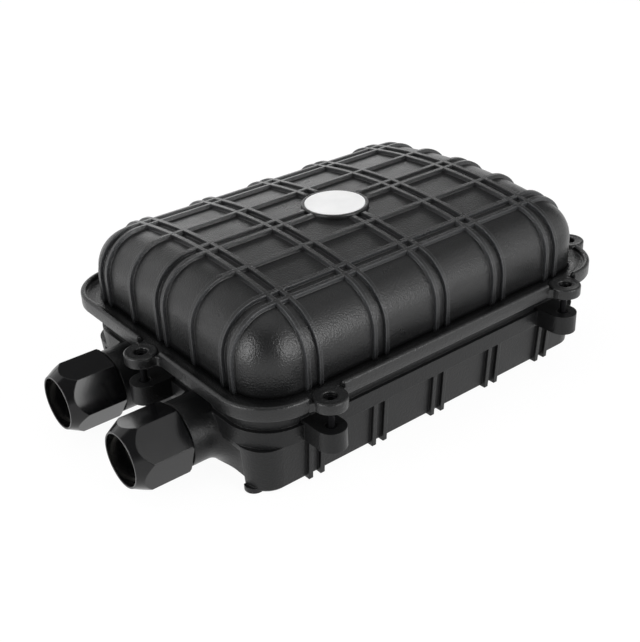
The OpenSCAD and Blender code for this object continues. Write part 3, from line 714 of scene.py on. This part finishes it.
lid = joined("lid", [
    grown(dome_shell(), rib_tree(), casing_plastic, "dome"),
    flange_ring(), liner_ring(), label_pad(), *[ear(place) for place in EARS],
], casing_plastic)
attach(lid, "lid")
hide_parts("lid_shell")

# Finish of every other node, by its name without the number of a repeated one
LOOKS = {
    "base_shell": base_plastic, "label_disc": label_white, "seal_ring": seal_rubber,
    "screw_inserts": black_steel, "lid_screw": black_steel, "gland_nut": nut_plastic,
    "thrust_ring": ring_plastic, "gland_grommet": seal_rubber, "cable_clamp": zinc,
    "clamp_screws": zinc, "strength_clamp": brass, "strength_screws": zinc, "tray_bracket": zinc,
    "bracket_screws": zinc, "hinge_pin": zinc, "splice_tray": tray_plastic,
    "splice_holder": holder_rubber, "tray_cover": clear,
}
for name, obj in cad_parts.items():
    kind = name.rstrip("0123456789").rstrip("_")
    if kind in LOOKS:
        obj.data.materials.clear()
        obj.data.materials.append(LOOKS[kind])


# ---------- floor, light and camera ----------

def sheet_of(name, half, z, material):
    """A square sheet, in metres."""
    mesh = bpy.data.meshes.new(name)
    mesh.from_pydata([(-half, -half, z), (half, -half, z), (half, half, z), (-half, half, z)], [],
                     [(0, 1, 2, 3)])
    mesh.materials.append(material)
    return in_scene(name, mesh)


def pale_floor():
    """Takes shadows as it is lit, and mostly glows for the rays that show it."""
    glow_strength, glow_share = 1.03, 0.92
    material, t, shader = finish("pale floor", (0.95, 0.95, 0.95), 0.9, Specular_IOR_Level=0)
    glow = t.node("ShaderNodeEmission", (1, 1, 1, 1), glow_strength).outputs[0]
    path = t.node("ShaderNodeLightPath")
    seen = t.math("MAXIMUM", path.outputs["Is Camera Ray"],
                  t.math("MAXIMUM", path.outputs["Is Glossy Ray"],
                         path.outputs["Is Transmission Ray"]))
    share = t.math("MULTIPLY", seen, glow_share)
    mix = t.node("ShaderNodeMixShader", share, shader.outputs[0], glow)
    out = next(n for n in material.node_tree.nodes if n.type == "OUTPUT_MATERIAL")
    t.tree.links.new(mix.outputs[0], out.inputs[0])
    return material


def studio_room():
    """Grey wall all round, a darker ceiling, and white wherever the camera sees it."""
    wall_grey, ceiling_grey = 0.5, 0.14
    world = bpy.data.worlds.new("studio")
    bpy.context.scene.world = world
    world.use_nodes = True
    t = Tree(world.node_tree)
    back = world.node_tree.nodes["Background"]
    back.inputs["Color"].default_value = (1, 1, 1, 1)
    height = t.node("ShaderNodeSeparateXYZ",
                    t.node("ShaderNodeTexCoord").outputs["Generated"]).outputs[2]
    above = t.ramp(height, 0.12, 0.42)
    room = t.math("SUBTRACT", wall_grey,
                  t.math("MULTIPLY", above, wall_grey - ceiling_grey))
    # Glossy and clear pieces see the white only near the floor
    path = t.node("ShaderNodeLightPath")
    low_down = t.ramp(height, 0.16, 0.08)
    mirrored = t.math("MULTIPLY", low_down, t.math("MAXIMUM", path.outputs["Is Glossy Ray"],
                                                   path.outputs["Is Transmission Ray"]))
    white = t.math("MAXIMUM", path.outputs["Is Camera Ray"], mirrored)
    t.tree.links.new(t.math("MAXIMUM", room, white), back.inputs["Strength"])


def lamp(name, place, target_z, size, power):
    """A soft box that faces the middle of the part, at the given height."""
    light = bpy.data.lights.new(name, "AREA")
    light.shape = "RECTANGLE"
    light.size, light.size_y = size
    light.energy = power
    way = Vector((0, 0, target_z)) - Vector(place)
    turn = way.to_track_quat("-Z", "Y").to_matrix().to_4x4()
    in_scene(name, light).matrix_world = Matrix.Translation(place) @ turn


def photo_camera():
    """The photograph's view, as it was solved from the even pitch of the ribs."""
    camera = bpy.data.cameras.new("camera")
    camera.lens = 59.43
    camera.sensor_width = 36
    camera.clip_start = 0.01
    right = Vector((0.7795, -0.6252, -0.0374)).normalized()
    back = Vector((-0.5318, -0.6923, 0.4877)).normalized()
    up = back.cross(right).normalized()
    right = up.cross(back).normalized()
    turn = Matrix((right, up, back)).transposed().to_4x4()
    obj = in_scene("camera", camera)
    obj.matrix_world = Matrix.Translation((-0.2924, -0.3651, 0.2813)) @ turn
    bpy.context.scene.camera = obj


sheet_of("floor", 12, -0.0005, pale_floor())
studio_room()
lamp("sky", (0.1, 0.2, 1.4), 0.05, (1.5, 1.5), 5.2)
lamp("back box", (0.75, 1.15, 0.4), 0.08, (1.3, 0.4), 3)
lamp("left wall", (-0.7, 1.0, 0.75), 0.05, (1.7, 1.0), 5)
lamp("right wall", (0.9, -0.84, 0.72), 0.05, (1.5, 1.35), 6.5)
lamp("left strip", (-1.28, 0.05, 0.36), 0.05, (0.6, 1.1), 12)
lamp("right strip", (0.25, -1.28, 0.36), 0.05, (0.6, 1.1), 12.5)
photo_camera()
bpy.context.scene.view_settings.view_transform = "Standard"
